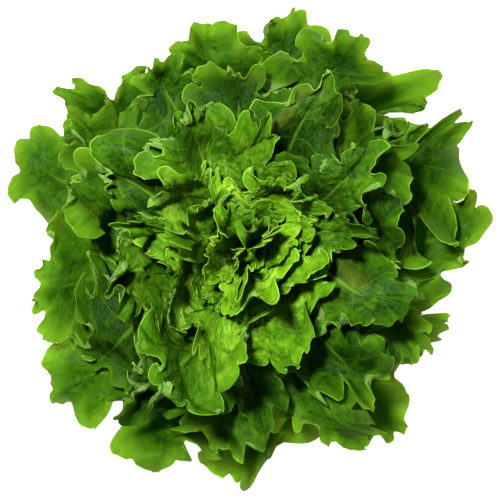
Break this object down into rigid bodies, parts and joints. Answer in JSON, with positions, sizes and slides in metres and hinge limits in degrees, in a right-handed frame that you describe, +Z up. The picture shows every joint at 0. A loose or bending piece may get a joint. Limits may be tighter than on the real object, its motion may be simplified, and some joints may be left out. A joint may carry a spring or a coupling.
{
  "type": "oak leaf lettuce head",
  "caption": "Loose lettuce head, cut at its base: broad, waved leaves with rounded lobes in a rising spiral round a short stem, closing over a small frilled heart.",
  "frame": {"origin": "centre of the stem's flat cut face, on which the head rests", "axes": "+Z up along the stem; seen from above with +Y towards the top of the picture and +X to its right"},
  "size_m": [0.278, 0.2761, 0.1273],
  "materials": {
    "outer_leaf": "living leaf: deep green, satin on top, duller and paler below",
    "inner_leaf": "living leaf: mid green, satin",
    "heart_leaf": "young leaf: bright yellow-green, satin",
    "stem": "pale, moist cut stem"
  },
  "bodies": {
    "root": {"leaf_01": "outer_leaf", "leaf_02": "outer_leaf", "leaf_03": "outer_leaf", "leaf_04": "outer_leaf", "leaf_05": "outer_leaf", "leaf_06": "outer_leaf", "leaf_07": "outer_leaf", "leaf_08": "outer_leaf", "leaf_09": "outer_leaf", "leaf_10": "outer_leaf", "leaf_11": "outer_leaf", "leaf_12": "outer_leaf", "leaf_13": "outer_leaf", "leaf_14": "outer_leaf", "leaf_15": "outer_leaf", "leaf_16": "outer_leaf", "leaf_17": "outer_leaf", "leaf_18": "outer_leaf", "leaf_19": "outer_leaf", "leaf_20": "outer_leaf", "leaf_21": "outer_leaf", "leaf_22": "outer_leaf", "leaf_23": "outer_leaf", "leaf_24": "outer_leaf", "leaf_25": "inner_leaf", "leaf_26": "inner_leaf", "leaf_27": "inner_leaf", "leaf_28": "inner_leaf", "leaf_29": "inner_leaf", "leaf_30": "inner_leaf", "leaf_31": "inner_leaf", "leaf_32": "inner_leaf", "leaf_33": "inner_leaf", "leaf_34": "inner_leaf", "leaf_35": "inner_leaf", "leaf_36": "inner_leaf", "leaf_37": "inner_leaf", "leaf_38": "inner_leaf", "leaf_39": "inner_leaf", "leaf_40": "inner_leaf", "leaf_41": "inner_leaf", "leaf_42": "inner_leaf", "heart": "heart_leaf", "stem": "stem"}
  },
  "joints": []
}
